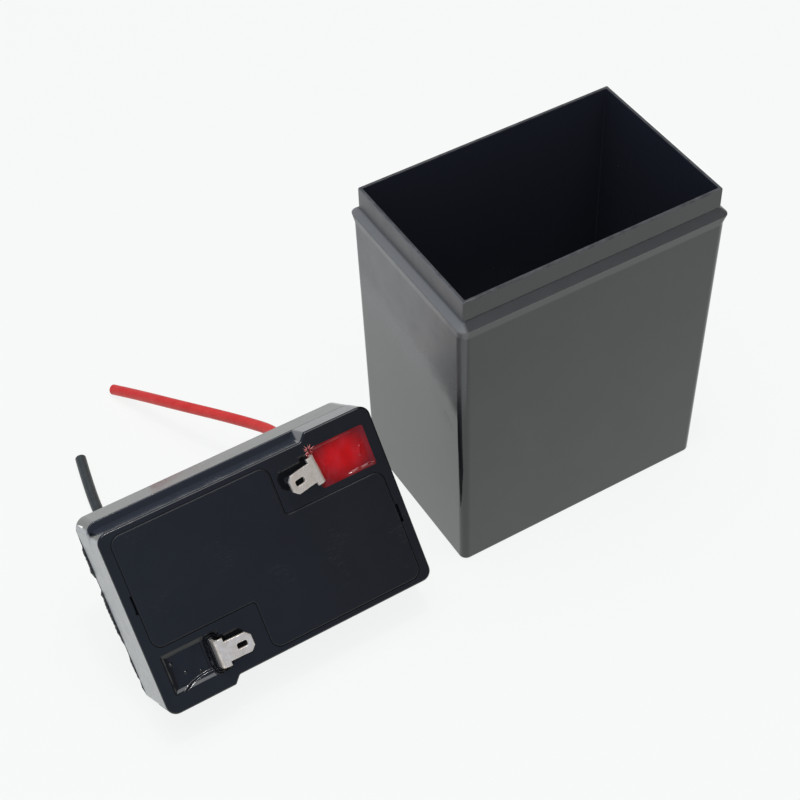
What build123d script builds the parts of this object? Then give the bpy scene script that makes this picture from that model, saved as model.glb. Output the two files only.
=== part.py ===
from build123d import *
import os
from math import atan, degrees, radians, tan

# Case of a small 6 V block battery, open, with its terminal lid standing on edge beside it.
# Millimetres, +Z up. The origin is the middle of the case's flat base. X runs along the case's
# long side and Y along its short side. The lid is drawn in a frame of its own (x long, y short,
# z out of the deck, deck top at z = 0) and is then leaned back on its lower long edge.

# case: the body widens a little upwards, and ends in a collar that slopes up to the tongue
case_length = 71.0
case_width = 47.0
case_draft = 1.05
case_corner = 2.2
foot_corner = 1.9
foot_round = 0.7
floor_thickness = 2.5
ledge_height = 81.8
collar_drop = 1.5
collar_taper = 2.5
collar_proud = 0.35
collar_corner = 1.6
collar_round = 0.3
tongue_height = 5.7
tongue_inset = 1.3
tongue_thickness = 0.8
tongue_corner = 0.4
rim_outer_round = 0.35
rim_inner_round = 0.1
cavity_corner = 0.35
wall = tongue_inset + tongue_thickness
rim_height = ledge_height + tongue_height

# lid
lid_length = 69.7
lid_width = 46.4
lid_height = 18.2
lid_draft = 0.15
lid_corner = 2.9
lid_wall = 1.6
deck_thickness = 3.0
deck_corner = 2.6
deck_edge_round = 0.5
skirt_edge_round = 0.25
lap_clearance = 0.1
lap_depth = tongue_height + 0.25
rebate_depth = 7.9
rebate_inset = 1.75
rebate_jog = 17.3
jog_run = 1.6
jog_corner = 0.7
cavity_step = 9.8
upper_cavity_half_length = 32.7
upper_cavity_half_width = 19.4

# vent cover plate and its seat
plate_half_length = 32.2
plate_half_width = 19.8
plate_notch_x = 7.1
plate_notch_y = 7.5
plate_corner = 2.6
plate_inner_corner = 0.8
plate_thickness = 1.35
plate_edge_round = 0.4
plate_gap = 0.08
plate_seat_depth = 1.2
pry_slot_length = 4.5
pry_slot_width = 0.9
pry_slot_depth = 1.5
pry_slot_offset = 3.8

# vents
vent_pitch = 18.0
vent_well_radius = 5.3
vent_well_depth = 6.6
vent_cup_wall = 1.3
neck_radius = 3.0
neck_bore_radius = 1.8
neck_top = -2.9
cap_radius = 4.2
cap_play = 0.05
cap_edge_round = 0.6

# terminal wells, each with a recess in its inner wall that gives the tab's foot room
well_inner_x = 17.6
well_outer_x = 31.8
well_inner_y = 9.2
well_outer_y = 19.1
well_depth = 7.4
well_wall = 1.2
well_corner = 0.6
foot_recess_x = 16.6
foot_recess_width = 7.4
red_resin_top = -0.15
black_resin_top = -0.7

# tabs and solder joints
tab_thickness = 0.8
blade_width = 4.75
blade_length = 6.35
blade_tip_chamfer = 1.1
shoulder_width = 6.7
shoulder_length = 2.25
foot_width = 3.0
foot_depth = 10.4
foot_shoulder = -1.5
bend_radius = 1.0
tab_rise = 2.3
eye_length = 2.4
eye_width = 1.35
eye_corner = 0.4
eye_from_tip = 2.6
slot_clearance = 0.1
positive_tab_place = (17.55, 14.5, 6.0)
positive_tab_tilt = 13
negative_tab_place = (-19.7, -14.3, 180.0)
negative_tab_tilt = 3
solder_radius = 2.3
solder_top = -9.4
solder_bottom = -13.2
solder_round = 1.2

# strand of old sealant along the lid's left lower edge
sealant_proud = 0.7
sealant_height = 2.2
sealant_lift = 0.9
sealant_end_gap = 5.0
sealant_round = 0.3

# leads
lead_diameter = 2.8
core_radius = 0.75
sleeve_bore_radius = 0.8
bare_core = 1.2
core_overlap = 0.1
arc_share = 0.45

# lid pose: lower long edge on the floor, deck leaning back, almost parallel to the case
lid_lean = 50.7
lid_turn = 0.45
lid_edge_x = -82.95
lid_edge_y = -18.3

# routes of the two leads, from under the lid to their cut ends on the floor
red_route = [
    (-65.4, 8.6, 26.8),
    (-59.3, 21.8, 20.2),
    (-64.6, 35.6, 15.4),
    (-74.2, 53.3, 10.0),
    (-79.8, 66.9, 4.7),
    (-83.3, 75.2, 1.6),
]
black_route = [
    (-103.1, -11.5, 6.3),
    (-103.8, -2.0, 2.1),
    (-104.8, 10.5, 1.45),
    (-105.2, 24.5, 1.45),
    (-104.5, 38.0, 1.45),
    (-102.7, 49.0, 1.45),
    (-100.8, 57.6, 1.45),
]


def slab(length, width, radius, height):
    """A rounded rectangle, centred, lying at the given height."""
    return Pos(0, 0, height) * RectangleRounded(length, width, radius)


def corners(outline, wanted, radius):
    """Round the corners of an outline that the test picks."""
    return fillet([v for v in outline.vertices() if wanted(v)], radius)


def both_ends(piece):
    """A feature and its copy half a turn round: the lid looks the same from either long side."""
    return piece + Rot(0, 0, 180) * piece


def case_shell():
    collar_base = ledge_height - collar_drop - collar_taper
    foot = (case_length - 2 * case_draft, case_width - 2 * case_draft)
    shoulder = slab(case_length, case_width, case_corner, collar_base)
    body = loft([slab(*foot, foot_corner, 0), shoulder])
    body = fillet(body.faces().sort_by(Axis.Z)[0].edges(), foot_round)

    tip_height = ledge_height - collar_drop
    lip = (case_length + 2 * collar_proud, case_width + 2 * collar_proud)
    tip = slab(*lip, collar_corner, tip_height)
    rim = (case_length - 2 * tongue_inset, case_width - 2 * tongue_inset)
    collar = loft([shoulder, tip]) + loft([tip, slab(*rim, tongue_corner, ledge_height)])
    collar = fillet(collar.edges().filter_by_position(Axis.Z, tip_height, tip_height), collar_round)
    tongue = extrude(slab(*rim, tongue_corner, ledge_height), tongue_height)
    tongue = fillet(tongue.faces().sort_by(Axis.Z)[-1].edges(), rim_outer_round)

    low = slab(foot[0] - 2 * wall, foot[1] - 2 * wall, cavity_corner, floor_thickness)
    high = slab(case_length - 2 * wall, case_width - 2 * wall, cavity_corner, rim_height)
    shell = body + collar + tongue - loft([low, high])
    mouth = shell.faces().sort_by(Axis.Z)[-1].inner_wires()[0]
    return fillet(mouth.edges(), rim_inner_round)


def deck_outline(half_length, half_width, height):
    """The upper part of the lid: full width only beside the two terminals."""
    inner = half_width - rebate_inset
    half = [
        (-half_length, -half_width),
        (-rebate_jog - jog_run / 2, -half_width),
        (-rebate_jog + jog_run / 2, -inner),
        (half_length, -inner),
    ]
    outline = Polygon(*half, *[(-x, -y) for x, y in half], align=None)
    outline = corners(outline, lambda v: abs(v.X) > half_length - 1, deck_corner)
    outline = corners(outline, lambda v: abs(v.X) < rebate_jog + jog_run, jog_corner)
    return Pos(0, 0, height) * outline


def plate_outline(grow, height):
    """The cover plate's outline, grown all round by a gap."""
    right, top = plate_half_length + grow, plate_half_width + grow
    notch_x, notch_y = plate_notch_x + grow, plate_notch_y + grow
    half = [(right, -top), (right, notch_y), (notch_x, notch_y), (notch_x, top)]
    outline = Polygon(*half, *[(-x, -y) for x, y in half], align=None)
    inside = [v for v in outline.vertices() if abs(v.X) < right - 1 and abs(v.Y) < top - 1]
    outline = fillet(inside, plate_inner_corner)
    outer = [v for v in outline.vertices() if abs(v.X) > right - 0.01 and abs(v.Y) > notch_y - 0.01]
    tongues = [v for v in outline.vertices() if abs(v.Y) > top - 0.01 and abs(v.X) < right - 1]
    return Pos(0, 0, height) * fillet(outer + tongues, plate_corner)


def well_block(grow, top, bottom):
    """The positive well's space, or its wall when grown."""
    size = (well_outer_x - well_inner_x + 2 * grow, well_outer_y - well_inner_y + 2 * grow)
    middle = ((well_inner_x + well_outer_x) / 2, (well_inner_y + well_outer_y) / 2)
    outline = Pos(*middle) * RectangleRounded(*size, well_corner + grow)
    recess = (2 * (well_inner_x - foot_recess_x + grow), foot_recess_width + 2 * grow)
    outline += Pos(well_inner_x, positive_tab_place[1]) * RectangleRounded(*recess, well_corner)
    return extrude(Pos(0, 0, bottom) * outline, top - bottom)


def lid_body():
    """Skirt and deck, hollow from below."""
    shrink = lid_draft * (lid_height - rebate_depth) / lid_height
    split = (lid_length - 2 * shrink, lid_width - 2 * shrink)
    skirt_foot = slab(lid_length, lid_width, lid_corner, -lid_height)
    skirt = loft([skirt_foot, slab(*split, lid_corner, -rebate_depth)])
    skirt = fillet(skirt.faces().sort_by(Axis.Z)[-1].edges(), skirt_edge_round)
    taper = degrees(atan((lid_draft - shrink) / rebate_depth))
    upper = extrude(deck_outline(split[0] / 2, split[1] / 2, -rebate_depth), rebate_depth, taper=taper)
    upper = fillet(upper.faces().sort_by(Axis.Z)[-1].edges(), deck_edge_round)

    lap_growth = 2 * lap_clearance - 2 * tongue_inset
    lap = (case_length + lap_growth, case_width + lap_growth)
    socket = extrude(slab(*lap, tongue_corner + lap_clearance, -lid_height), lap_depth)
    room = (lid_length - 2 * lid_wall, lid_width - 2 * lid_wall)
    hollow = extrude(slab(*room, cavity_corner, -lid_height), lid_height - cavity_step)
    narrow = slab(2 * upper_cavity_half_length, 2 * upper_cavity_half_width, cavity_corner, -cavity_step)
    return skirt + upper - socket - hollow - extrude(narrow, cavity_step - deck_thickness)


def lid_shell():
    well_floor = -well_depth - well_wall
    shell = lid_body() + both_ends(well_block(well_wall, -deck_thickness / 2, well_floor))
    shell -= both_ends(well_block(0, 1, -well_depth))
    for tab_x, tab_y, turn in (positive_tab_place, negative_tab_place):
        slot = Box(tab_thickness + 2 * slot_clearance, foot_width + 2 * slot_clearance, 3 * well_wall)
        shell -= Pos(tab_x, tab_y, well_floor) * Rot(0, 0, turn) * slot

    shell -= extrude(plate_outline(plate_gap, -plate_seat_depth), plate_seat_depth + 1)
    pry = Box(pry_slot_width, pry_slot_length, 2 * pry_slot_depth)
    shell -= both_ends(Pos(plate_half_length + pry_slot_width / 4, -pry_slot_offset, 0) * pry)
    cup_floor = -vent_well_depth - vent_cup_wall
    cup_height = vent_well_depth + vent_cup_wall - deck_thickness / 2
    for x in (-vent_pitch, 0, vent_pitch):
        shell += Pos(x, 0, cup_floor) * extrude(Circle(vent_well_radius + vent_cup_wall), cup_height)
        shell -= Pos(x, 0, -vent_well_depth) * extrude(Circle(vent_well_radius), vent_well_depth + 1)
        shell += Pos(x, 0, cup_floor) * extrude(Circle(neck_radius), neck_top - cup_floor)
        shell -= Pos(x, 0, cup_floor - 1) * extrude(Circle(neck_bore_radius), neck_top - cup_floor + 2)
    return shell


def vent_cover_plate():
    plate = extrude(plate_outline(0, -plate_seat_depth), plate_thickness)
    return fillet(plate.faces().sort_by(Axis.Z)[-1].edges(), plate_edge_round)


def vent_cap(x):
    """A rubber cup pulled down over a vent neck, just under the cover plate."""
    top = -plate_seat_depth - cap_play
    base = -vent_well_depth + cap_play
    body = Pos(x, 0, base) * extrude(Circle(cap_radius), top - base)
    body = fillet(body.faces().sort_by(Axis.Z)[-1].edges(), cap_edge_round)
    bore_height = neck_top + cap_play - base + 1
    return body - Pos(x, 0, base - 1) * extrude(Circle(neck_radius + cap_play), bore_height)


def tab_in_place(place, tilt):
    """A strip with a foot through the well floor, bent over so that its blade points along -x."""
    reach = shoulder_length + blade_length - tab_thickness / 2
    blade_end = tab_rise + reach * tan(radians(tilt))
    side = FilletPolyline((0, -foot_depth), (0, tab_rise), (-reach, blade_end), radius=bend_radius)
    strip = extrude(Plane.XZ * trace(side, tab_thickness), shoulder_width / 2, both=True)

    tip = -reach
    half_blade = blade_width / 2
    blade = Polygon(
        (tip + blade_tip_chamfer, -half_blade), (2, -half_blade), (2, half_blade),
        (tip + blade_tip_chamfer, half_blade), (tip, half_blade - blade_tip_chamfer),
        (tip, blade_tip_chamfer - half_blade), align=None,
    )
    shoulder_middle = (tab_thickness - shoulder_length) / 2
    shoulder = Pos(shoulder_middle, 0) * Rectangle(shoulder_length, shoulder_width)
    above = extrude(Pos(0, 0, foot_shoulder) * (blade + shoulder), foot_depth)
    below = Pos(0, 0, foot_shoulder - foot_depth) * extrude(Rectangle(4, foot_width), foot_depth)
    eye = Pos(tip + eye_from_tip, 0, 0) * RectangleRounded(eye_length, eye_width, eye_corner)
    tab = (strip & (above + below)) - extrude(eye, foot_depth)
    x, y, turn = place
    return Pos(x, y, 0) * Rot(0, 0, turn) * tab


def potting(tab, top, turn):
    """Resin that fills a well up to the deck and holds the tab's foot."""
    return Rot(0, 0, turn) * well_block(0, top, -well_depth) - tab


def solder_joint(tab, place):
    """A rounded blob round the tab's foot and the first bit of the bare core."""
    x, y, _ = place
    blob = Pos(x, y, solder_bottom) * extrude(Circle(solder_radius), solder_top - solder_bottom)
    blob = fillet(blob.edges().filter_by(GeomType.CIRCLE), solder_round)
    core = Pos(x, y, solder_bottom - 1) * extrude(Circle(core_radius), solder_top - solder_bottom)
    return blob - tab - (core & blob)


def joint_sealant():
    """A flat strand of old sealant along the lid's left lower edge."""
    middle = (-(lid_length + sealant_proud) / 2, 0, sealant_lift - lid_height)
    strand = Pos(*middle) * Box(sealant_proud, lid_width - 2 * sealant_end_gap, sealant_height)
    return fillet(strand.edges().filter_by(Axis.Z), sealant_round)


lid_place = (
    Location((lid_edge_x, lid_edge_y, 0), (0, 0, lid_turn))
    * Location((0, 0, 0), (lid_lean, 0, 0))
    * Location((0, lid_width / 2, lid_height))
)


def lead_path(name, place, route):
    """Straight runs joined by arcs as large as the runs allow, from the solder joint to the cut end."""
    start = (lid_place * Pos(place[0], place[1], solder_bottom + core_overlap)).position
    points = [start] + [Vector(*p) for p in route]
    runs = [b - a for a, b in zip(points, points[1:])]
    radii = []
    for before, after in zip(runs, runs[1:]):
        half_turn = radians(before.get_angle(after)) / 2
        radii.append(arc_share * min(before.length, after.length) / tan(half_turn))
    path = FilletPolyline(*points, radius=radii)
    print(name, "lead from", start, "length", round(path.length, 1), "smallest arc", round(min(radii), 1))
    return path


def along(path, begin, outer, inner=0):
    """A tube or rod that follows the path from a distance along it to its end."""
    wires = path.trim(begin / path.length, 1) if begin else path
    section = Circle(outer) - Circle(inner) if inner else Circle(outer)
    return sweep(Plane(origin=wires @ 0, z_dir=wires % 0) * section, path=wires)


positive_tab = tab_in_place(positive_tab_place, positive_tab_tilt)
negative_tab = tab_in_place(negative_tab_place, negative_tab_tilt)
parts = {"case_shell": case_shell()}
lid_parts = {
    "lid_shell": lid_shell(),
    "vent_cover_plate": vent_cover_plate(),
    "positive_potting": potting(positive_tab, red_resin_top, 0),
    "negative_potting": potting(negative_tab, black_resin_top, 180),
    "positive_tab": positive_tab,
    "negative_tab": negative_tab,
    "positive_solder_joint": solder_joint(positive_tab, positive_tab_place),
    "negative_solder_joint": solder_joint(negative_tab, negative_tab_place),
    "joint_sealant": joint_sealant(),
}
for number, x in enumerate((-vent_pitch, 0, vent_pitch), start=1):
    lid_parts[f"vent_cap_{number}"] = vent_cap(x)
parts.update({name: lid_place * shape for name, shape in lid_parts.items()})

leads = (("red", positive_tab_place, red_route), ("black", negative_tab_place, black_route))
for colour, place, route in leads:
    path = lead_path(colour, place, route)
    parts[f"{colour}_lead_core"] = along(path, 0, core_radius)
    parts[f"{colour}_lead_sleeve"] = along(path, bare_core, lead_diameter / 2, sleeve_bore_radius)

os.makedirs("parts", exist_ok=True)
for name, shape in parts.items():
    export_step(shape, f"parts/{name}.step")
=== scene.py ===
import math
import random

import bmesh
import bpy
from mathutils import Matrix, Vector, noise


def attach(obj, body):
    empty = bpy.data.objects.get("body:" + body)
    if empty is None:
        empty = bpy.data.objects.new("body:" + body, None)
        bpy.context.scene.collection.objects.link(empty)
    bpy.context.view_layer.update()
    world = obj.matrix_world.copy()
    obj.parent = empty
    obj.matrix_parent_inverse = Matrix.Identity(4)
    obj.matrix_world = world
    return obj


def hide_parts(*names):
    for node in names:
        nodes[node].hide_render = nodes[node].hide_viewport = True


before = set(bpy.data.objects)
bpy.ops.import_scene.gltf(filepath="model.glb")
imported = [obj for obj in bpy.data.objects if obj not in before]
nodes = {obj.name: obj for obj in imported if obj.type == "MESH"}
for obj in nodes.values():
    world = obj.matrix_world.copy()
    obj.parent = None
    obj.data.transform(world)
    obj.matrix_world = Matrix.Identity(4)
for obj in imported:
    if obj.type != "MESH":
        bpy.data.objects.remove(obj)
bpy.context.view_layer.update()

# Looks for the opened battery case and its terminal lid. Metres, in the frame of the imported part.
# The lid's details are drawn in the lid's own frame, in millimetres: u along its long side, v along
# its short side and w out of the deck, with the deck's top at w = 0.

MM = 0.001
random.seed(4)

# lid pose and outline, as in the part
LID_LEAN = math.radians(50.7)
LID_TURN = math.radians(0.45)
LID_EDGE = Vector((-82.95, -18.3, 0.0)) * MM
LID_LENGTH = 69.7
LID_WIDTH = 46.4
LID_HEIGHT = 18.2
LID_FRAME = (
    Matrix.Translation(LID_EDGE)
    @ Matrix.Rotation(LID_TURN, 4, "Z")
    @ Matrix.Rotation(LID_LEAN, 4, "X")
    @ Matrix.Translation(Vector((0.0, LID_WIDTH / 2, LID_HEIGHT)) * MM)
    @ Matrix.Scale(MM, 4)
)


# ---------------------------------------------------------------- camera
CAMERA_PLACE = Vector((-0.179527, -0.252052, 0.351621))
CAMERA_AHEAD = Vector((0.33307, 0.59267, -0.73335))
CAMERA_ROLL = math.radians(2.2678)
CAMERA_LENS = 81.2336
CAMERA_SENSOR = 36.0


def add_camera():
    """A long lens, looking down on the case's front corner."""
    forward = CAMERA_AHEAD.normalized()
    level = forward.cross(Vector((0, 0, 1))).normalized()
    above = level.cross(forward)
    right = level * math.cos(CAMERA_ROLL) - above * math.sin(CAMERA_ROLL)
    up = right.cross(forward)
    data = bpy.data.cameras.new("camera")
    data.sensor_width = CAMERA_SENSOR
    data.lens = CAMERA_LENS
    data.clip_start = 0.01
    data.clip_end = 20.0
    camera = bpy.data.objects.new("camera", data)
    bpy.context.scene.collection.objects.link(camera)
    turn = Matrix((right, up, -forward)).transposed()
    camera.matrix_world = Matrix.Translation(CAMERA_PLACE) @ turn.to_4x4()
    bpy.context.scene.camera = camera


# ---------------------------------------------------------------- leads
LEAD_DIAMETER = 0.0028
RED_ROUTE = [
    (-0.06556, 0.00177, 0.03240),
    (-0.0654, 0.0086, 0.0268),
    (-0.0593, 0.0218, 0.0202),
    (-0.0646, 0.0356, 0.0154),
    (-0.0742, 0.0537, 0.0101),
    (-0.0798, 0.0673, 0.0048),
    (-0.0833, 0.0752, 0.0016),
]
BLACK_ROUTE = [
    (-0.10266, -0.01676, 0.01012),
    (-0.1031, -0.0115, 0.0063),
    (-0.1038, -0.0020, 0.0021),
    (-0.1048, 0.0105, 0.00145),
    (-0.1052, 0.0245, 0.00145),
    (-0.1045, 0.0380, 0.00145),
    (-0.1027, 0.0490, 0.00145),
    (-0.1008, 0.0576, 0.00145),
]


def spline_curve(name, route, bevel):
    data = bpy.data.curves.new(name, "CURVE")
    data.dimensions = "3D"
    data.resolution_u = 12
    data.bevel_depth = bevel
    data.bevel_resolution = 7
    data.use_fill_caps = True
    spline = data.splines.new("NURBS")
    spline.points.add(len(route) - 1)
    for point, place in zip(spline.points, route):
        point.co = (*place, 1)
    spline.order_u = 3
    spline.use_endpoint_u = True
    return data


def link(name, data):
    piece = bpy.data.objects.new(name, data)
    bpy.context.scene.collection.objects.link(piece)
    return piece


# ---------------------------------------------------------------- materials
class Recipe:
    """A material built round one Principled shader."""

    def __init__(self, name, **sockets):
        self.material = bpy.data.materials.new(name)
        self.material.use_nodes = True
        self.tree = self.material.node_tree
        self.shader = self.tree.nodes["Principled BSDF"]
        for socket, value in sockets.items():
            self.set(self.shader, socket.replace("_", " "), value)

    def set(self, node, socket, value):
        target = node.inputs[socket]
        if isinstance(value, bpy.types.NodeSocket):
            self.tree.links.new(value, target)
        elif isinstance(value, tuple) and len(value) == 3 and target.type == "RGBA":
            target.default_value = (*value, 1)
        else:
            target.default_value = value

    def node(self, kind, settings=None, **sockets):
        node = self.tree.nodes.new("ShaderNode" + kind)
        for key, value in (settings or {}).items():
            setattr(node, key, value)
        for socket, value in sockets.items():
            self.set(node, socket.replace("_", " "), value)
        return node

    def coordinates(self, frame_matrix=None):
        """Position in millimetres, in the part's frame or in the lid's own."""
        place = self.node("TexCoord").outputs["Object"]
        mapping = self.node("Mapping", {"vector_type": "TEXTURE"}, Vector=place)
        if frame_matrix:
            mapping.inputs["Location"].default_value = frame_matrix.to_translation()
            mapping.inputs["Rotation"].default_value = frame_matrix.to_euler()
        mapping.inputs["Scale"].default_value = (MM, MM, MM)
        return mapping.outputs["Vector"]

    def stretched(self, place, scale, turn=0.0):
        node = self.node("Mapping", Vector=place)
        node.inputs["Scale"].default_value = scale
        node.inputs["Rotation"].default_value = (0, 0, turn)
        return node.outputs["Vector"]

    def noise(self, place, scale, detail=4.0, distortion=0.0, roughness=0.5):
        return self.node(
            "TexNoise", Vector=place, Scale=scale, Detail=detail,
            Distortion=distortion, Roughness=roughness,
        ).outputs["Fac"]

    def ramp(self, value, low, high, start=0.0, end=1.0):
        """A smooth step from start to end while the value goes from low to high."""
        node = self.node("MapRange", {"interpolation_type": "SMOOTHSTEP"}, Value=value)
        numbers = {"From Min": low, "From Max": high, "To Min": start, "To Max": end}
        for socket, number in numbers.items():
            self.set(node, socket, number)
        return node.outputs["Result"]

    def fade(self, value, low, high):
        """A smooth step down from 1 to 0."""
        return self.ramp(value, low, high, 1.0, 0.0)

    def math(self, operation, a, b=0.0):
        node = self.node("Math", {"operation": operation})
        self.set(node, 0, a)
        self.set(node, 1, b)
        return node.outputs[0]

    def times(self, first, *factors):
        for factor in factors:
            first = self.math("MULTIPLY", first, factor)
        return first

    def plus(self, a, b):
        return self.math("ADD", a, b)

    def size(self, value):
        return self.math("ABSOLUTE", value)

    def mix(self, factor, a, b):
        node = self.node("Mix", {"data_type": "RGBA"})
        self.set(node, 0, factor)
        self.set(node, 6, a)
        self.set(node, 7, b)
        return node.outputs[2]

    def axis(self, place, letter):
        return self.node("SeparateXYZ", Vector=place).outputs[letter]

    def bump(self, height, strength, distance, normal=None):
        node = self.node("Bump", Height=height, Strength=strength, Distance=distance)
        if normal is not None:
            self.set(node, "Normal", normal)
        return node.outputs["Normal"]

    def finish(self, **sockets):
        for socket, value in sockets.items():
            self.set(self.shader, socket.replace("_", " "), value)
        return self.material


BLACK = (0.0045, 0.0048, 0.0058)
SCRATCH_GREY = (0.30, 0.30, 0.31)
DUST_GREY = (0.35, 0.35, 0.34)
# painted sheen: the lighter grey on the case's left side
SHEEN_GREY = (0.5, 0.5, 0.49)
# the pale grey of the lid skirt's left side: real wear and a painted sheen
SKIRT_WEAR_AND_SHEEN = (0.46, 0.455, 0.425)
# painted reflection: the lighter, bluer grey of the rebate ledges
REBATE_REFLECTION_GREY = (0.036, 0.040, 0.050)
# painted light: the lighter, bluer grey of the case's inside walls and floor
INSIDE_LIT_GREY = (0.030, 0.031, 0.040)
COLLAR_FRONT = (0.045, 0.044, 0.042)
# painted sheen: the collar's left side lighter than its front
COLLAR_LEFT_SHEEN = (0.115, 0.112, 0.106)
# painted highlight: the light line along the rim's top
RIM_HIGHLIGHT_GREY = (0.085, 0.084, 0.082)
# painted light: the middle of the positive well, where the resin is lightest
RESIN_LIT_MIDDLE = (24.5, 14.4, 0.0)


def scratches(recipe, place, length, turn, amount):
    """Sparse hairlines: thin crossings of a noise stretched along one direction."""
    lines = recipe.stretched(place, (1 / length, 1.6, 1 / length), turn)
    lines = recipe.noise(lines, 1.0, 2.0, 0.35)
    thin = recipe.fade(recipe.size(recipe.math("SUBTRACT", lines, 0.5)), 0.0, 0.012)
    patches = recipe.ramp(recipe.noise(place, 0.09, 2.0), 0.56, 0.66, 0.0, amount)
    return recipe.times(thin, patches)


def case_wear(recipe, place, colour, rough):
    """Painted light inside the case, lighter and bluer; a painted sheen on its left side, where it
    is also rougher; a dull, rubbed collar, its left side painted lighter than its front as a
    painted sheen; and a painted highlight along the rim's top.
    """
    x, y, z = (recipe.axis(place, letter) for letter in "XYZ")
    within_x = recipe.fade(recipe.size(x), 33.45, 33.6)
    within_y = recipe.fade(recipe.size(y), 21.45, 21.6)
    inside = recipe.times(within_x, within_y, recipe.ramp(z, 2.0, 2.4))
    # painted light: the case's inside walls and floor made lighter and bluer than its outside
    colour = recipe.mix(inside, colour, INSIDE_LIT_GREY)
    left = recipe.fade(x, -34.6, -34.2)
    # painted sheen: the left side streaked lighter, more towards the back and top
    streaks = recipe.noise(recipe.stretched(place, (1.0, 0.03, 0.015)), 1.0, 3.0)
    left_sheen = recipe.ramp(streaks, 0.3, 0.7, 0.6, 1.0)
    left_sheen = recipe.times(left_sheen, recipe.ramp(y, -22.5, -6.0), recipe.ramp(z, 10.0, 62.0))
    colour = recipe.mix(recipe.times(left_sheen, left, 0.13), colour, SHEEN_GREY)
    outside = recipe.math("SUBTRACT", 1.0, inside)
    rub = recipe.times(recipe.ramp(z, 79.6, 80.2), recipe.fade(z, 81.9, 82.1), outside)
    # a rubbed, duller collar band, its left side painted lighter than its front as a painted sheen
    colour = recipe.mix(rub, colour, recipe.mix(left, COLLAR_FRONT, COLLAR_LEFT_SHEEN))
    # painted highlight: a broken light line along the rim's top
    highlight_breakup = recipe.ramp(recipe.noise(place, 0.5, 4.0), 0.3, 0.7, 0.5, 1.0)
    rim = recipe.times(recipe.ramp(z, 87.1, 87.35), highlight_breakup)
    colour = recipe.mix(rim, colour, RIM_HIGHLIGHT_GREY)
    # painted sheen high on the left side, where the plastic is also rougher
    haze_and_sheen = recipe.times(recipe.fade(x, -34.2, -33.8), recipe.ramp(z, 50.0, 66.0))
    colour = recipe.mix(recipe.times(haze_and_sheen, 0.11), colour, SHEEN_GREY)
    rough = recipe.plus(rough, recipe.times(haze_and_sheen, 0.3))
    return colour, recipe.plus(rough, recipe.times(rub, 0.35))


def lid_wear(recipe, place, colour, rough):
    """A rougher, worn left side of the skirt, painted pale as a painted sheen, and ledges in the
    finger rebates painted lighter and bluer as a painted reflection.
    """
    x, y, z = (recipe.axis(place, letter) for letter in "XYZ")
    streaks = recipe.noise(recipe.stretched(place, (1.0, 0.12, 2.2)), 1.0, 5.0)
    streaks = recipe.ramp(streaks, 0.2, 0.6, 0.7, 1.0)
    # the skirt's left side: rougher from real wear, and painted pale as a painted sheen
    worn = recipe.times(recipe.fade(x, -34.5, -34.0), recipe.fade(z, -0.9, -0.3), streaks)
    colour = recipe.mix(worn, colour, SKIRT_WEAR_AND_SHEEN)
    # painted reflection: the ledges in the finger rebates made lighter and bluer
    side = recipe.ramp(recipe.size(y), 20.9, 21.1)
    ledge = recipe.times(side, recipe.fade(z, -0.9, -0.6), recipe.ramp(z, -8.3, -7.6))
    colour = recipe.mix(ledge, colour, REBATE_REFLECTION_GREY)
    return colour, recipe.plus(rough, recipe.times(worn, 0.25))


def plate_wear(recipe, place, colour, rough):
    """A dull edge below the cover plate's glossy face."""
    dull = recipe.ramp(recipe.axis(place, "Z"), 0.10, 0.14, 0.45, 0.0)
    return colour, recipe.plus(rough, dull)


def black_plastic(
    name, tint=BLACK, roughness=0.1, wave=0.08, ior=1.5, matrix=LID_FRAME, wear=None,
):
    """Moulded plastic with faint clouds, hairlines and dust, and a slightly wavy skin."""
    recipe = Recipe(name, IOR=ior)
    place = recipe.coordinates(matrix)
    marks = recipe.plus(
        scratches(recipe, place, 9.0, 0.5, 1.0), scratches(recipe, place, 6.0, 2.3, 0.7)
    )
    clouds = recipe.ramp(recipe.noise(place, 0.07, 5.0, 0.4, 0.6), 0.3, 0.75)
    dust = recipe.ramp(recipe.noise(place, 1.6, 2.0), 0.70, 0.78, 0.0, 0.35)
    colour = recipe.mix(clouds, tint, tuple(1.35 * c for c in tint))
    colour = recipe.mix(recipe.times(marks, 0.035), colour, SCRATCH_GREY)
    colour = recipe.mix(recipe.times(dust, 0.05), colour, DUST_GREY)
    smears = recipe.noise(place, 0.25, 6.0, 0.2, 0.65)
    rough = recipe.ramp(smears, 0.3, 0.75, roughness, roughness + 0.08)
    rough = recipe.plus(rough, recipe.times(marks, 0.15))
    waves = recipe.bump(recipe.noise(place, 0.06, 2.0), wave, 0.0004)
    grain = recipe.bump(recipe.noise(place, 3.0, 3.0), 0.03, 0.0001, waves)
    cuts = recipe.bump(recipe.math("SUBTRACT", 1.0, marks), 0.08, 0.0001, grain)
    if wear:
        colour, rough = wear(recipe, place, colour, rough)
    return recipe.finish(Base_Color=colour, Roughness=rough, Normal=cuts)


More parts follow.
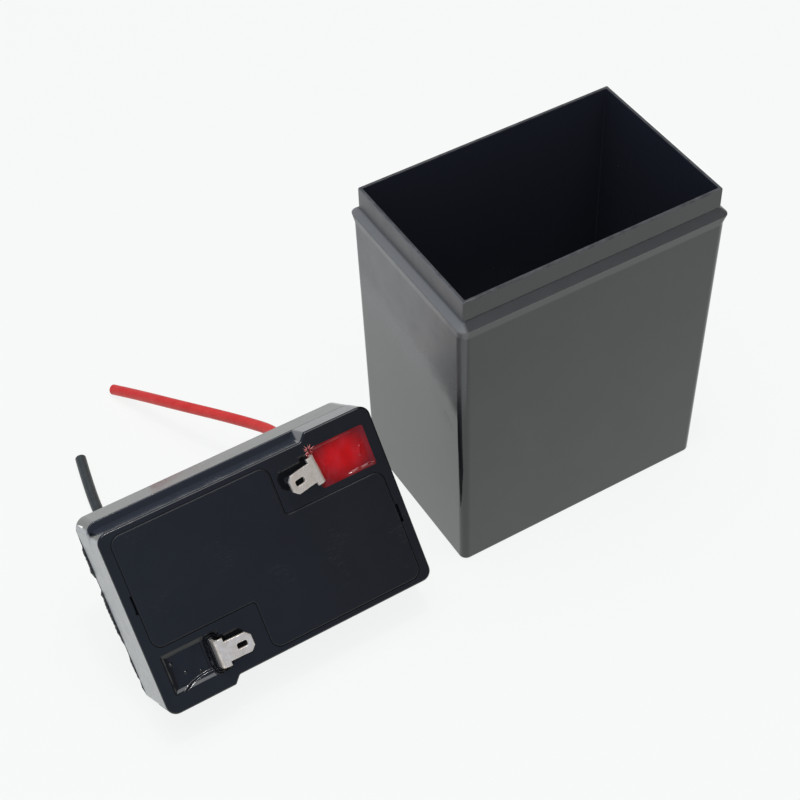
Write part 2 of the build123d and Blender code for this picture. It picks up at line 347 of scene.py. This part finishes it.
def resin(name, deep, clear, shaded, speck, scale=0.3):
    """Cast resin with bubbles, with painted light round the middle of the positive well and painted
    shade towards its walls.
    """
    recipe = Recipe(name, IOR=1.5)
    place = recipe.coordinates(LID_FRAME)
    cloud = recipe.ramp(recipe.noise(place, scale, 4.0, 0.6), 0.35, 0.7)
    rough = recipe.ramp(recipe.noise(place, 0.8, 3.0), 0.3, 0.7, 0.04, 0.1)
    skin = recipe.bump(recipe.noise(place, 0.35, 2.0, 0.3), 0.1, 0.0003)
    # painted light round the middle of the positive well, and painted shade towards its walls
    offset = recipe.node("VectorMath", {"operation": "SUBTRACT"})
    recipe.set(offset, 0, place)
    recipe.set(offset, 1, RESIN_LIT_MIDDLE)
    spread = recipe.node("VectorMath", {"operation": "LENGTH"})
    recipe.set(spread, 0, recipe.stretched(offset.outputs[0], (0.7, 1.0, 0.0)))
    colour = recipe.mix(cloud, deep, clear)
    colour = recipe.mix(recipe.ramp(spread.outputs["Value"], 1.5, 6.2), colour, shaded)
    bubbles = recipe.ramp(recipe.noise(place, 2.2, 1.0), 0.74, 0.78)
    colour = recipe.mix(bubbles, colour, speck)
    return recipe.finish(Base_Color=colour, Roughness=rough, Normal=skin)


def dull_metal(name, bright, dull, roughness):
    """Tinned, soldered or bare metal with dull clouds and faint drawing lines."""
    recipe = Recipe(name, Metallic=0.6, IOR=1.5)
    place = recipe.coordinates(LID_FRAME)
    cloud = recipe.noise(place, 0.7, 5.0, 0.5, 0.6)
    lines = recipe.noise(recipe.stretched(place, (6.0, 0.6, 3.0)), 1.0, 3.0)
    rough = recipe.ramp(cloud, 0.3, 0.75, roughness, roughness + 0.2)
    skin = recipe.bump(recipe.plus(lines, cloud), 0.15, 0.00008)
    colour = recipe.mix(recipe.ramp(cloud, 0.35, 0.75), bright, dull)
    return recipe.finish(Base_Color=colour, Roughness=rough, Normal=skin)


def soft_pvc(name, fresh, worn, dusty):
    """Satin cable sleeve with a worn cast and some dust."""
    recipe = Recipe(name, IOR=1.5)
    place = recipe.coordinates()
    cloud = recipe.ramp(recipe.noise(place, 0.35, 4.0), 0.3, 0.75)
    grain = recipe.noise(place, 4.0, 4.0)
    dust = recipe.ramp(recipe.noise(place, 1.1, 5.0, 0.3, 0.7), 0.55, 0.8, 0.0, 0.35)
    waves = recipe.bump(recipe.noise(place, 0.6, 2.0), 0.15, 0.0003)
    skin = recipe.bump(grain, 0.08, 0.0001, waves)
    rough = recipe.ramp(grain, 0.3, 0.7, 0.4, 0.55)
    colour = recipe.mix(dust, recipe.mix(cloud, fresh, worn), dusty)
    return recipe.finish(Base_Color=colour, Roughness=rough, Normal=skin)


LOOKS = {
    "case_plastic": (black_plastic, dict(
        tint=(0.0125, 0.0128, 0.0132), roughness=0.02, wave=0.05, ior=1.54, matrix=None,
        wear=case_wear,
    )),
    "lid_plastic": (black_plastic, dict(wear=lid_wear)),
    "plate_plastic": (black_plastic, dict(roughness=0.14, wear=plate_wear)),
    "red_resin": (resin, dict(
        deep=(0.46, 0.001, 0.002), clear=(0.56, 0.001, 0.003),
        shaded=(0.15, 0.001, 0.002), speck=(0.6, 0.02, 0.01),
    )),
    "cracked_resin": (resin, dict(
        deep=(0.62, 0.10, 0.09), clear=(0.85, 0.45, 0.42),
        shaded=(0.75, 0.25, 0.22), speck=(0.9, 0.8, 0.78), scale=1.4,
    )),
    "black_resin": (resin, dict(
        deep=(0.004, 0.004, 0.005), clear=(0.008, 0.008, 0.009),
        shaded=(0.004, 0.004, 0.005), speck=(0.02, 0.02, 0.022),
    )),
    "tinned_brass": (dull_metal, dict(
        bright=(0.88, 0.79, 0.68), dull=(0.66, 0.57, 0.48), roughness=0.26,
    )),
    "solder": (dull_metal, dict(
        bright=(0.72, 0.72, 0.70), dull=(0.45, 0.45, 0.44), roughness=0.3,
    )),
    "red_pvc": (soft_pvc, dict(
        fresh=(0.64, 0.020, 0.014), worn=(0.70, 0.04, 0.028), dusty=(0.74, 0.15, 0.12),
    )),
    "black_pvc": (soft_pvc, dict(
        fresh=(0.030, 0.034, 0.031), worn=(0.045, 0.050, 0.046), dusty=(0.09, 0.098, 0.092),
    )),
    "copper": (dull_metal, dict(
        bright=(0.78, 0.38, 0.22), dull=(0.55, 0.24, 0.13), roughness=0.3,
    )),
    "valve_rubber": (black_plastic, dict(tint=(0.02, 0.02, 0.021), roughness=0.6)),
    "sealant": (black_plastic, dict(tint=(0.012, 0.012, 0.012), roughness=0.08)),
}
materials = {name: make(name, **settings) for name, (make, settings) in LOOKS.items()}
NODE_SLOTS = {
    "case_shell": "case_plastic",
    "lid_shell": "lid_plastic",
    "vent_cover_plate": "plate_plastic",
    "positive_potting": "red_resin",
    "negative_potting": "black_resin",
    "positive_tab": "tinned_brass",
    "negative_tab": "tinned_brass",
    "positive_solder_joint": "solder",
    "negative_solder_joint": "solder",
    "joint_sealant": "sealant",
    "vent_cap_1": "valve_rubber",
    "vent_cap_2": "valve_rubber",
    "vent_cap_3": "valve_rubber",
    "red_lead_core": "copper",
    "red_lead_sleeve": "red_pvc",
    "black_lead_core": "copper",
    "black_lead_sleeve": "black_pvc",
}


def paint(piece, slot):
    piece.data.materials.clear()
    piece.data.materials.append(materials[slot])


def smooth_mesh(mesh, angle=35.0):
    mesh.polygons.foreach_set("use_smooth", [True] * len(mesh.polygons))
    mesh.set_sharp_from_angle(angle=math.radians(angle))


def add_lid_piece(name, mesh, slot, *replaced, look=None):
    """A piece drawn in the lid's own millimetres, put in its place."""
    mesh.transform(LID_FRAME)
    smooth_mesh(mesh)
    piece = link(name, mesh)
    paint(piece, look or slot)
    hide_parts(*replaced)
    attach(piece, "lid")


def blend(value, low, high):
    """Smooth step from 0 to 1."""
    t = min(max((value - low) / (high - low), 0.0), 1.0)
    return t * t * (3 - 2 * t)


def hump(distance, width):
    return math.exp(-(distance / width) ** 2)


# ---------------------------------------------------------------- tabs
# a strip with a foot in the resin, a bend, shoulders and a blade with a slotted eye
TAB_THICK = 0.8
TAB_EDGE_ROUND = 0.1
FOOT_DEPTH = 10.4
FOOT_HALF = 1.5
FOOT_SHOULDER = 1.5
SHOULDER_HALF = 3.35
SHOULDER_REACH = 1.85
BLADE_HALF = 2.375
TIP_CHAMFER = 1.1
EYE_FROM_TIP = 2.6
EYE_FLAT_X = 0.85
EYE_FLAT_Y = 0.28
EYE_CORNER = 0.42
TAB_RISE = 2.3
TAB_REACH = 8.2
BEND_RADIUS = 1.0
BEND_CUTS = 10
BLADE_CUTS = 6
BLADE_CUT_PITCH = 1.1
BLADE_WARP = {"positive": 0.05, "negative": 0.03}

# place in the lid's frame, turn and upward tilt in degrees
POSITIVE_TAB = (17.55, 14.5, 6.0, 13.0)
NEGATIVE_TAB = (-19.7, -14.3, 180.0, 3.0)


def tab_blank(tilt):
    """The tab before bending, with rounded edges: x along the strip from its foot, y across."""
    turn = math.radians(90 - tilt)
    rise = math.radians(tilt)
    straight = FOOT_DEPTH + TAB_RISE - BEND_RADIUS * math.tan(turn / 2)
    bent = straight + BEND_RADIUS * turn
    start = -BEND_RADIUS * (1 - math.cos(turn))
    tip = bent + (TAB_REACH + start) / math.cos(rise)
    shoulder = bent + (SHOULDER_REACH + start) / math.cos(rise)
    neck = FOOT_DEPTH - FOOT_SHOULDER
    half = [
        (0.0, FOOT_HALF), (neck, FOOT_HALF), (neck, SHOULDER_HALF), (shoulder, SHOULDER_HALF),
        (shoulder, BLADE_HALF), (tip - TIP_CHAMFER, BLADE_HALF), (tip, BLADE_HALF - TIP_CHAMFER),
    ]
    eye_middle = tip - EYE_FROM_TIP / math.cos(rise)
    eye = []
    for side_x, side_y, first in ((1, 1, 0), (-1, 1, 90), (-1, -1, 180), (1, -1, 270)):
        for step in range(5):
            angle = math.radians(first + 22.5 * step)
            eye.append((
                eye_middle + side_x * EYE_FLAT_X + EYE_CORNER * math.cos(angle),
                side_y * EYE_FLAT_Y + EYE_CORNER * math.sin(angle),
            ))
    blank = bpy.data.curves.new("blank", "CURVE")
    blank.dimensions = "2D"
    blank.fill_mode = "BOTH"
    blank.bevel_depth = TAB_EDGE_ROUND
    blank.bevel_resolution = 2
    blank.extrude = TAB_THICK / 2 - TAB_EDGE_ROUND
    blank.offset = -TAB_EDGE_ROUND
    for outline in (half + [(x, -y) for x, y in reversed(half)], eye):
        spline = blank.splines.new("POLY")
        spline.points.add(len(outline) - 1)
        for point, (x, y) in zip(spline.points, outline):
            point.co = (x, y, 0, 1)
        spline.use_cyclic_u = True
    return blank, straight, bent, turn


def mesh_of(curve):
    """The mesh of a curve, with the curve itself thrown away."""
    holder = bpy.data.objects.new("holder", curve)
    mesh = bpy.data.meshes.new_from_object(holder)
    bpy.data.objects.remove(holder)
    bpy.data.curves.remove(curve)
    return mesh


def add_tab(side, x, y, turned, tilt):
    """A tab, bent over from its foot, with a blade that is slightly out of true."""
    blank, straight, bent, turn = tab_blank(tilt)
    mesh = mesh_of(blank)
    shape = bmesh.new()
    shape.from_mesh(mesh)
    bmesh.ops.remove_doubles(shape, verts=shape.verts, dist=0.002)
    cuts = [straight + (bent - straight) * k / BEND_CUTS for k in range(BEND_CUTS + 1)]
    cuts += [bent + BLADE_CUT_PITCH * k for k in range(1, BLADE_CUTS + 1)]
    for cut in cuts:
        parts = shape.verts[:] + shape.edges[:] + shape.faces[:]
        bmesh.ops.bisect_plane(shape, geom=parts, plane_co=(cut, 0, 0), plane_no=(1, 0, 0))
    centre = Vector((-BEND_RADIUS, 0, straight - FOOT_DEPTH))
    for vert in shape.verts:
        along, across, out = vert.co
        angle = min(max((along - straight) / BEND_RADIUS, 0.0), turn)
        outward = Vector((math.cos(angle), 0, math.sin(angle)))
        ahead = Vector((-math.sin(angle), 0, math.cos(angle)))
        past_bend = max(along - bent, 0.0)
        extra = along - straight if along < straight else past_bend
        warp = BLADE_WARP[side] * past_bend / 3 * math.sin(0.9 * along + across)
        vert.co = centre + outward * (BEND_RADIUS + out + warp) + ahead * extra
        vert.co += Vector((0, across, 0))
    shape.to_mesh(mesh)
    shape.free()
    turned = Matrix.Rotation(math.radians(turned), 4, "Z")
    mesh.transform(Matrix.Translation((x, y, 0)) @ turned)
    add_lid_piece(f"{side}_tab_visual", mesh, "tinned_brass", f"{side}_tab")


# ---------------------------------------------------------------- potting
# the positive well, as left, right, low and high sides; the negative one is turned half round
WELL = (17.6, 31.8, 9.2, 19.1)
WELL_DEPTH = 7.4
WELL_CORNER = 0.6
# the recess for the tab's foot in the well's inner wall, as inner, low and high sides
RECESS = (16.6, 10.8, 18.2)
OUTLINE_PITCH = 0.12
POTTING_RINGS = 70

# levels of the resin below the deck, and where their skins are uneven
RED_LEVEL = -0.2
RED_STREAK = (28.75, 12.9)
RED_DROPS = (25.6, 27.0, 28.2, 29.5, 30.8)
RED_DROPS_Y = 9.7
BLACK_LEVEL = -1.0
BLACK_STEP = (-23.0, -17.3)
BLACK_BUBBLES = ((-27.6, -15.3), (-24.2, -16.6), (-30.0, -12.2))


def well_corner(x, y, first):
    """A rounded corner of the well, a quarter turn from the first angle in degrees."""
    angles = [math.radians(a) for a in range(first, first + 91, 15)]
    return [(x + WELL_CORNER * math.cos(a), y + WELL_CORNER * math.sin(a)) for a in angles]


def well_outline():
    """Points round the positive well and the recess."""
    left, right, low, high = WELL
    inner, recess_low, recess_high = RECESS
    r = WELL_CORNER
    outline = well_corner(right - r, high - r, 0) + well_corner(left + r, high - r, 90)
    outline += [(left, recess_high), (inner, recess_high)]
    outline += [(inner, recess_low), (left, recess_low)]
    outline += well_corner(left + r, low + r, 180) + well_corner(right - r, low + r, 270)
    dense = []
    for (ax, ay), (bx, by) in zip(outline, outline[1:] + outline[:1]):
        steps = max(1, round(math.hypot(bx - ax, by - ay) / OUTLINE_PITCH))
        dense += [(ax + (bx - ax) * k / steps, ay + (by - ay) * k / steps) for k in range(steps)]
    return dense


def wall_distance(x, y):
    """How far a point of the positive well lies from the wall."""
    left, right, low, high = WELL
    inner, recess_low, recess_high = RECESS
    if x < left + 1 and recess_low < y < recess_high:
        wall = min(x - inner, y - recess_low + 0.6, recess_high - y + 0.6)
    else:
        wall = min(x - left, right - x, y - low, high - y)
    return max(wall, 0.0)


def add_potting(side, slot, skin):
    """Resin in a well. Its skin is pulled up at the walls and round the tab."""
    outline = well_outline()
    count = len(outline)
    flip = -1 if side == "negative" else 1
    middle_x, middle_y = (WELL[0] + WELL[1]) / 2, (WELL[2] + WELL[3]) / 2
    verts = [(x * flip, y * flip, -WELL_DEPTH) for x, y in outline]
    for ring in range(POTTING_RINGS):
        share = 1 - ring / POTTING_RINGS
        for x, y in outline:
            px = middle_x + (x - middle_x) * share
            py = middle_y + (y - middle_y) * share
            wall = wall_distance(px, py)
            verts.append((px * flip, py * flip, skin(px * flip, py * flip, wall)))
    x, y = middle_x * flip, middle_y * flip
    verts.append((x, y, skin(x, y, 4.0)))
    faces = [tuple(reversed(range(count)))]
    for ring in range(POTTING_RINGS):
        for k in range(count):
            a, b = ring * count + k, ring * count + (k + 1) % count
            faces.append((a, b, b + count, a + count))
    last = POTTING_RINGS * count
    faces += [(last + k, last + (k + 1) % count, len(verts) - 1) for k in range(count)]
    mesh = bpy.data.meshes.new(f"{side}_potting")
    mesh.from_pydata(verts, [], faces)
    add_lid_piece(f"{side}_potting_visual", mesh, slot, f"{side}_potting")


def foot_distance(x, y, tab):
    """How far a point of the resin lies from the tab's foot."""
    dx, dy = x - tab[0], y - tab[1]
    angle = math.radians(-tab[2])
    along = dx * math.cos(angle) - dy * math.sin(angle)
    across = dx * math.sin(angle) + dy * math.cos(angle)
    return math.hypot(
        max(abs(along) - TAB_THICK / 2, 0.0), max(abs(across) - SHOULDER_HALF, 0.0)
    )


def red_skin(x, y, wall):
    """Height of the red resin, with a raised streak, a row of drops and ripples by the tab."""
    foot = foot_distance(x, y, POSITIVE_TAB)
    level = RED_LEVEL + 0.22 * hump(wall, 0.7) + 0.45 * hump(foot, 0.5)
    level += 0.10 * noise.noise(Vector((x * 0.35, y * 0.35, 1.7)))
    for k in range(5):
        away = math.hypot(x - RED_STREAK[0] - 0.16 * k, y - RED_STREAK[1] - 0.42 * k)
        level += 0.2 * hump(away, 0.26)
    for k, place in enumerate(RED_DROPS):
        away = math.hypot((x - place) / 1.3, (y - RED_DROPS_Y - 0.18 * (k % 2)) / 0.32)
        level += 0.20 * hump(away, 0.7)
    return level + 0.05 * noise.noise(Vector((x * 1.1, y * 0.7, 7.0))) * hump(foot - 1.2, 1.2)


def black_skin(x, y, wall):
    """Height of the black resin, with a curved step, rings round the tab and bubbles."""
    foot = foot_distance(x, y, NEGATIVE_TAB)
    level = BLACK_LEVEL + 0.55 * hump(wall, 0.8) + 0.5 * hump(foot, 0.6)
    level += 0.10 * noise.noise(Vector((x * 0.3, y * 0.3, 4.1)))
    step = BLACK_STEP[1] - 0.045 * (x - BLACK_STEP[0]) ** 2
    step += 0.10 * noise.noise(Vector((x * 0.9, 2.0, 0.0)))
    level += 0.5 * blend(step - y, -0.25, 0.35)
    rings = math.sin(foot * 9.0 + 2.0 * noise.noise(Vector((x, y, 3.0))))
    level += 0.2 * rings * hump(foot - 0.9, 0.7)
    for bx, by in BLACK_BUBBLES:
        level += 0.26 * hump(math.hypot(x - bx, y - by), 0.28)
    return level


def add_chip():
    """A small burst of pale, pinkish-white resin flakes at the upper end of the positive tab's
    foot.
    """
    shape = bmesh.new()
    centre = Vector((17.7, 18.75, 0.0))
    for k in range(11):
        angle = math.radians(20 + 30 * k + random.uniform(-9, 9))
        reach = random.uniform(1.0, 1.7)
        ahead = Vector((math.cos(angle), math.sin(angle), 0.0))
        aside = Vector((-ahead.y, ahead.x, 0.0)) * 0.13
        lift = Vector((0, 0, random.uniform(0.16, 0.34)))
        root = centre + ahead * 0.12
        foot = root + ahead * reach * 0.4 + Vector((0, 0, 0.02))
        tip = shape.verts.new(centre + ahead * reach + Vector((0, 0, 0.04)))
        left = shape.verts.new(foot + aside)
        right = shape.verts.new(foot - aside)
        crest = shape.verts.new(root + ahead * reach * 0.3 + lift)
        back = shape.verts.new(root - Vector((0, 0, 0.15)))
        under = shape.verts.new(root + ahead * reach * 0.5 - Vector((0, 0, 0.2)))
        for face in (
            (tip, crest, left), (tip, right, crest), (back, left, crest), (back, crest, right),
            (tip, left, under), (tip, under, right), (back, under, left), (back, right, under),
        ):
            shape.faces.new(face)
    mesh = bpy.data.meshes.new("chip")
    shape.to_mesh(mesh)
    shape.free()
    add_lid_piece("resin_chip_visual", mesh, "red_resin", "positive_potting", look="cracked_resin")


# ---------------------------------------------------------------- sealant, solder and lead ends
# share of the way down the lid's left edge, and how thick the sealant is there
BEAD_STOPS = (
    (0.0, 0.0), (0.09, 0.25), (0.12, 0.75), (0.2, 0.7), (0.245, 1.05), (0.275, 0.5), (0.29, 0.16),
    (0.355, 0.16), (0.38, 0.8), (0.40, 0.55), (0.45, 0.8), (0.6, 0.75), (0.66, 0.5), (0.70, 0.14),
    (0.75, 0.2), (0.80, 0.5), (0.88, 0.4), (0.91, 0.12), (0.95, 0.35), (1.0, 0.0),
)
SEALANT_END_GAP = 2.2
SOLDER_TOP = -9.4
SOLDER_DEPTH = 3.8


def tube_faces(around, stations, turned=False):
    """Faces of a tube of rings with closed ends. When turned, they face the other way."""
    faces = []
    for k in range(stations):
        for j in range(around):
            a, b = k * around + j, k * around + (j + 1) % around
            face = (a, a + around, b + around, b) if turned else (a, b, b + around, a + around)
            faces.append(face)
    first = tuple(range(around))
    last = tuple(range(stations * around, (stations + 1) * around))
    return faces + ([first, last[::-1]] if turned else [first[::-1], last])


def bead_size(share):
    """Thickness of the sealant, in mm, from the upper end of the left edge (0) to the lower (1)."""
    for (a, low), (b, high) in zip(BEAD_STOPS, BEAD_STOPS[1:]):
        if share <= b:
            return low + (high - low) * blend(share, a, b)
    return 0.0


def add_sealant():
    """A broken strand of hardened sealant, smeared along the skirt's left lower edge."""
    around, stations = 18, 320
    verts = []
    for k in range(stations + 1):
        share = k / stations
        y = (0.5 - share) * (LID_WIDTH - 2 * SEALANT_END_GAP)
        size = max(bead_size(share), 0.03)
        wander = 0.12 * noise.noise(Vector((share * 30, 0.5, 0.0)))
        for j in range(around):
            angle = 2 * math.pi * j / around
            spot = Vector((share * 60, math.cos(angle) * 1.2, math.sin(angle) * 1.2))
            lump = 1 + 0.28 * noise.noise(spot)
            out = 0.72 * size * lump * max(math.cos(angle), -0.25)
            drop = (0.12 + size * 0.55) * lump * math.sin(angle)
            verts.append((-LID_LENGTH / 2 + 0.02 - out, y, -LID_HEIGHT + 0.45 + wander + drop))
    mesh = bpy.data.meshes.new("sealant")
    mesh.from_pydata(verts, [], tube_faces(around, stations, turned=True))
    add_lid_piece("joint_sealant_visual", mesh, "sealant", "joint_sealant")


def add_solder(side, x, y):
    """Solder drawn up the tab's foot and down round the core, with a slumped, uneven skin."""
    around, stations = 40, 26
    verts = []
    for k in range(stations + 1):
        t = k / stations
        z = SOLDER_TOP - SOLDER_DEPTH * t
        radius = 0.3 + 1.75 * math.sin(math.pi * min(t + 0.12, 1.0) ** 0.8) ** 0.7
        if k == stations:
            radius = 0.55
        for j in range(around):
            angle = 2 * math.pi * j / around
            spot = Vector((math.cos(angle) * 1.5 + x, math.sin(angle) * 1.5, z * 0.6))
            lump = 1 + 0.10 * noise.noise(spot)
            narrow = 0.82 + 0.18 * abs(math.sin(angle))
            verts.append((
                x + radius * lump * narrow * math.cos(angle),
                y + radius * lump * math.sin(angle),
                z,
            ))
    mesh = bpy.data.meshes.new(f"{side}_solder")
    mesh.from_pydata(verts, [], tube_faces(around, stations))
    add_lid_piece(f"{side}_solder_visual", mesh, "solder", f"{side}_solder_joint")


def route_points(route):
    """Points read along the lead's own spline."""
    mesh = mesh_of(spline_curve("probe", route, 0.0))
    return [vert.co.copy() for vert in mesh.vertices]


def add_strands(colour, route):
    """The cut end of the core: seven strand ends, just proud of the sleeve."""
    points = route_points(route)
    end, ahead = points[-1], (points[-1] - points[-2]).normalized()
    frame_turn = ahead.to_track_quat("Z", "Y").to_matrix().to_4x4()
    shape = bmesh.new()
    for k in range(7):
        ring = 0.46 * MM if k else 0.0
        angle = k * math.pi / 3
        spot = Vector((ring * math.cos(angle), ring * math.sin(angle), -0.1 * MM))
        strand = bmesh.ops.create_cone(
            shape, cap_ends=True, segments=14, radius1=0.23 * MM, radius2=0.19 * MM,
            depth=random.uniform(0.5, 0.8) * MM,
        )
        bmesh.ops.translate(shape, verts=strand["verts"], vec=spot)
    mesh = bpy.data.meshes.new(f"{colour}_strands")
    shape.to_mesh(mesh)
    shape.free()
    mesh.transform(Matrix.Translation(end) @ frame_turn)
    smooth_mesh(mesh)
    piece = link(f"{colour}_lead_strands", mesh)
    paint(piece, "copper")
    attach(piece, "lid")
    return piece


def add_lead(colour, route):
    lead = link(f"{colour}_lead", spline_curve(f"{colour}_lead", route, LEAD_DIAMETER / 2))
    paint(lead, f"{colour}_pvc")
    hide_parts(f"{colour}_lead_core", f"{colour}_lead_sleeve")
    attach(lead, "lid")
    return lead


# ---------------------------------------------------------------- stage
BACKGROUND = (0.912, 0.930, 0.921, 1)
FLOOR_GLOW = 0.93
FLOOR_PAPER = (0.092, 0.086, 0.078, 1)
FLOOR_HALF = 6.0
FLOOR_DROP = 0.0001
ROOM_LEFT = (0.34, 0.41, 0.56, 1)
ROOM_RIGHT = (0.20, 0.207, 0.235, 1)
LIGHT_MIDDLE = (-0.03, -0.05)


def empty_tree(block):
    block.use_nodes = True
    block.node_tree.nodes.clear()
    return block.node_tree


def add_stage():
    """A pale floor that glows a little, so that shadows on it stay soft."""
    size = FLOOR_HALF
    corners = [(-size, -size, 0), (size, -size, 0), (size, size, 0), (-size, size, 0)]
    floor_mesh = bpy.data.meshes.new("floor")
    floor_mesh.from_pydata(corners, [], [(0, 1, 2, 3)])
    floor = link("floor", floor_mesh)
    floor.location.z = -FLOOR_DROP
    material = bpy.data.materials.new("floor")
    tree = empty_tree(material)
    glow = tree.nodes.new("ShaderNodeEmission")
    glow.inputs["Color"].default_value = BACKGROUND
    glow.inputs["Strength"].default_value = FLOOR_GLOW
    paper = tree.nodes.new("ShaderNodeBsdfDiffuse")
    paper.inputs["Color"].default_value = FLOOR_PAPER
    both = tree.nodes.new("ShaderNodeAddShader")
    out = tree.nodes.new("ShaderNodeOutputMaterial")
    tree.links.new(glow.outputs[0], both.inputs[0])
    tree.links.new(paper.outputs[0], both.inputs[1])
    tree.links.new(both.outputs[0], out.inputs["Surface"])
    floor_mesh.materials.append(material)


def add_world():
    """A dim, cool room, brighter on the left, with the pale background where the camera looks."""
    world = bpy.data.worlds.new("studio")
    bpy.context.scene.world = world
    tree = empty_tree(world)
    place = tree.nodes.new("ShaderNodeTexCoord")
    split = tree.nodes.new("ShaderNodeSeparateXYZ")
    tree.links.new(place.outputs["Generated"], split.inputs[0])
    across = tree.nodes.new("ShaderNodeMapRange")
    across.interpolation_type = "SMOOTHSTEP"
    across.inputs["From Min"].default_value = 0.16
    across.inputs["From Max"].default_value = 0.40
    tree.links.new(split.outputs["X"], across.inputs["Value"])
    tone = tree.nodes.new("ShaderNodeMix")
    tone.data_type = "RGBA"
    tone.inputs[6].default_value = ROOM_LEFT
    tone.inputs[7].default_value = ROOM_RIGHT
    tree.links.new(across.outputs[0], tone.inputs[0])
    seen = tree.nodes.new("ShaderNodeLightPath")
    back = tree.nodes.new("ShaderNodeMix")
    back.data_type = "RGBA"
    back.inputs[7].default_value = BACKGROUND
    tree.links.new(seen.outputs["Is Camera Ray"], back.inputs[0])
    tree.links.new(tone.outputs[2], back.inputs[6])
    sky = tree.nodes.new("ShaderNodeBackground")
    out = tree.nodes.new("ShaderNodeOutputWorld")
    tree.links.new(back.outputs[2], sky.inputs["Color"])
    tree.links.new(sky.outputs[0], out.inputs["Surface"])


def add_light(name, height, size, power):
    """A square light that hangs over the part and faces straight down."""
    data = bpy.data.lights.new(name, "AREA")
    data.shape = "RECTANGLE"
    data.size = size
    data.size_y = size
    data.energy = power
    light = link(name, data)
    light.location = (*LIGHT_MIDDLE, height)
    light.rotation_mode = "QUATERNION"
    light.rotation_quaternion = Vector((0, 0, -height)).to_track_quat("-Z", "Y")


add_camera()
bpy.context.scene.view_settings.view_transform = "Standard"
red_lead = add_lead("red", RED_ROUTE)
black_lead = add_lead("black", BLACK_ROUTE)
red_strands = add_strands("red", RED_ROUTE)
black_strands = add_strands("black", BLACK_ROUTE)
for name, slot in NODE_SLOTS.items():
    paint(nodes[name], slot)
add_tab("positive", *POSITIVE_TAB)
add_tab("negative", *NEGATIVE_TAB)
add_potting("positive", "red_resin", red_skin)
add_potting("negative", "black_resin", black_skin)
add_chip()
add_sealant()
add_solder("positive", *POSITIVE_TAB[:2])
add_solder("negative", *NEGATIVE_TAB[:2])
add_stage()
add_world()
add_light("softbox", height=0.9, size=0.7, power=4.5)
add_light("sparkle_above", height=0.86, size=0.07, power=1.4)
